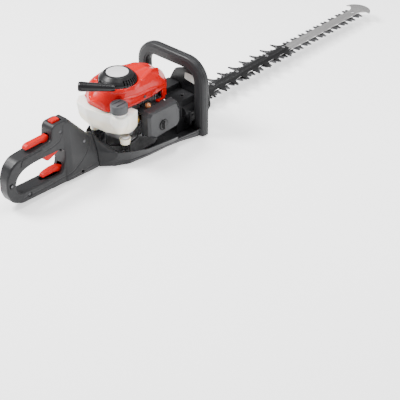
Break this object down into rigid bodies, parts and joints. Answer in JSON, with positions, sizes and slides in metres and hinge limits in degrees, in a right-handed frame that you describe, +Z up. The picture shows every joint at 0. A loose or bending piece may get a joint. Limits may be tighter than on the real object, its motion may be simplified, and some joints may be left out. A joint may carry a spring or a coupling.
{
  "type": "hedge trimmer",
  "caption": "Petrol hedge trimmer with a long double-sided blade bar, hooked blade guard, pull starter, looped front handle and a rear handle that turns and locks.",
  "frame": {"origin": "underside of the base, straight below the engine's vertical crankshaft", "axes": "+X forward to the blade tip, +Y left, +Z up"},
  "size_m": [1.4, 0.2302, 0.2225],
  "materials": {
    "dark_plastic": "fine grained moulding",
    "red_plastic": "glossy moulding",
    "lever_red": "satin moulding",
    "filter_grey": "satin moulding",
    "cap_grey": "satin moulding",
    "badge_grey": "smooth blank disc",
    "black_plastic": "satin moulding",
    "tank_plastic": "milky blow moulding",
    "primer_amber": "clear flexible bulb",
    "black_rubber": "soft, slightly worn",
    "rope_cord": "braided",
    "filter_foam": "open foam",
    "bar_steel": "brushed along its length",
    "blade_steel": "dark, oiled, ground edges",
    "guard_black": "black coating",
    "black_steel": "black oxide finish",
    "bolt_steel": "zinc plated",
    "machined_steel": "machined",
    "cast_aluminium": "as cast",
    "cover_steel": "heat-proof paint",
    "brass_fitting": "turned",
    "plug_ceramic": "glazed"
  },
  "bodies": {
    "chassis": {"guide_bar": "bar_steel", "blade_guard": "guard_black", "bar_bolts": "bolt_steel", "gear_case": "cast_aluminium", "gear_case_cover": "cover_steel", "case_screws": "black_steel", "ball_bearings": "bolt_steel", "clutch_housing": "cast_aluminium", "crankcase": "cast_aluminium", "cylinder": "cast_aluminium", "spark_plug": "plug_ceramic", "ignition_coil": "black_plastic", "ignition_lead": "black_rubber", "recoil_spring": "bolt_steel", "starter_cover": "dark_plastic", "starter_badge": "badge_grey", "fan_shroud": "red_plastic", "fuel_tank": "tank_plastic", "fuel_line": "black_rubber", "intake_manifold": "black_plastic", "carburettor": "cast_aluminium", "filter_base": "filter_grey", "filter_element": "filter_foam", "filter_cover": "filter_grey", "muffler": "cover_steel", "av_springs": "black_steel", "spring_cups": "tank_plastic", "base_frame": "dark_plastic", "front_handle": "dark_plastic", "hand_guard": "black_plastic", "front_deck": "dark_plastic", "swivel_ring": "bolt_steel", "throttle_cable": "black_rubber"},
    "rear_handle": {"rear_handle_right": "dark_plastic", "rear_handle_left": "dark_plastic", "handle_screws": "black_steel", "soft_grip": "black_rubber", "handle_cable": "black_rubber"},
    "throttle_trigger": {"throttle_trigger": "lever_red"},
    "throttle_lock": {"throttle_lock": "lever_red"},
    "release_lever": {"release_lever": "lever_red"},
    "lock_pin": {"lock_pin": "bolt_steel"},
    "stop_switch": {"stop_switch": "lever_red"},
    "crank": {"crankshaft": "machined_steel", "flywheel": "cast_aluminium", "clutch_shoes": "machined_steel"},
    "clutch_drum": {"clutch_drum": "machined_steel"},
    "drive_gear": {"drive_gear": "machined_steel"},
    "upper_blade": {"upper_blade": "blade_steel"},
    "lower_blade": {"lower_blade": "blade_steel"},
    "piston": {"piston": "cast_aluminium", "connecting_rod": "machined_steel"},
    "starter_grip": {"starter_grip": "black_plastic", "starter_rope": "rope_cord"},
    "starter_reel": {"starter_reel": "black_plastic"},
    "fuel_cap": {"fuel_cap": "cap_grey"},
    "filter_knob": {"filter_knob": "black_plastic"},
    "choke_lever": {"choke_lever": "lever_red"},
    "primer_bulb": {"primer_bulb": "primer_amber"},
    "throttle_barrel": {"throttle_barrel": "brass_fitting"}
  },
  "joints": [
    {"name": "handle_swivel", "type": "hinge", "parent": "chassis", "child": "rear_handle", "pos_m": [-0.098, 0, 0.046], "axis": [1, 0, 0], "range_deg": [-90, 90]},
    {"name": "trigger_pull", "type": "hinge", "parent": "rear_handle", "child": "throttle_trigger", "pos_m": [-0.193, 0, 0.111], "axis": [0, 1, 0], "range_deg": [0, 12], "stiffness_Nm_per_rad": 0.4, "springref_deg": -17.19},
    {"name": "lock_press", "type": "hinge", "parent": "rear_handle", "child": "throttle_lock", "pos_m": [-0.24, 0, 0.132], "axis": [0, -1, 0], "range_deg": [0, 5], "stiffness_Nm_per_rad": 0.4, "springref_deg": -17.19},
    {"name": "release_press", "type": "hinge", "parent": "rear_handle", "child": "release_lever", "pos_m": [-0.192, 0, 0.034], "axis": [0, -1, 0], "range_deg": [0, 5], "stiffness_Nm_per_rad": 0.4, "springref_deg": -17.19},
    {"name": "lock_pin_slide", "type": "slide", "parent": "rear_handle", "child": "lock_pin", "axis": [-1, 0, 0], "range_m": [0, 0.006]},
    {"name": "switch_slide", "type": "slide", "parent": "rear_handle", "child": "stop_switch", "axis": [1, 0, 0], "range_m": [0, 0.006]},
    {"name": "crank_turn", "type": "hinge", "parent": "chassis", "child": "crank", "pos_m": [0, 0, 0.11], "axis": [0, 0, 1], "continuous": true},
    {"name": "gear_turn", "type": "hinge", "parent": "chassis", "child": "drive_gear", "pos_m": [0.042, 0, 0.04], "axis": [0, 0, 1], "continuous": true},
    {"name": "drum_turn", "type": "hinge", "parent": "chassis", "child": "clutch_drum", "pos_m": [0, 0, 0.06], "axis": [0, 0, 1], "continuous": true},
    {"name": "upper_blade_slide", "type": "slide", "parent": "chassis", "child": "upper_blade", "axis": [1, 0, 0], "range_m": [-0.008, 0.008]},
    {"name": "lower_blade_slide", "type": "slide", "parent": "chassis", "child": "lower_blade", "axis": [1, 0, 0], "range_m": [-0.008, 0.008]},
    {"name": "piston_slide", "type": "slide", "parent": "chassis", "child": "piston", "axis": [-1, 0, 0], "range_m": [0, 0.03]},
    {"name": "starter_pull", "type": "slide", "parent": "chassis", "child": "starter_grip", "axis": [-0.7944, -0.6074, 0], "range_m": [0, 0.6], "stiffness_N_per_m": 8, "springref_m": -0.8},
    {"name": "reel_turn", "type": "hinge", "parent": "chassis", "child": "starter_reel", "pos_m": [0, 0, 0.206], "axis": [0, 0, 1], "continuous": true},
    {"name": "cap_turn", "type": "hinge", "parent": "chassis", "child": "fuel_cap", "pos_m": [-0.052, -0.056, 0.165], "axis": [0, 0, 1], "continuous": true},
    {"name": "knob_turn", "type": "hinge", "parent": "chassis", "child": "filter_knob", "pos_m": [0.059, -0.095, 0.085], "axis": [0, -1, 0], "continuous": true},
    {"name": "choke_swing", "type": "hinge", "parent": "chassis", "child": "choke_lever", "pos_m": [0.084, -0.052, 0.125], "axis": [0, 0, -1], "range_deg": [0, 18]},
    {"name": "primer_press", "type": "slide", "parent": "chassis", "child": "primer_bulb", "axis": [0, 0, -1], "range_m": [0, 0.002], "stiffness_N_per_m": 1500, "springref_m": -0.001},
    {"name": "barrel_turn", "type": "hinge", "parent": "chassis", "child": "throttle_barrel", "pos_m": [0.02, -0.0505, 0.104], "axis": [1, 0, 0], "range_deg": [0, 60]}
  ],
  "couplings": [
    {"joint": "lock_pin_slide", "follows": "release_press", "m_per_rad": 0.0687},
    {"joint": "drum_turn", "follows": "gear_turn", "ratio": -4.6},
    {"joint": "lower_blade_slide", "follows": "upper_blade_slide", "ratio": -1},
    {"joint": "reel_turn", "follows": "starter_pull", "rad_per_m": 26.32},
    {"joint": "barrel_turn", "follows": "trigger_pull", "ratio": 5}
  ]
}
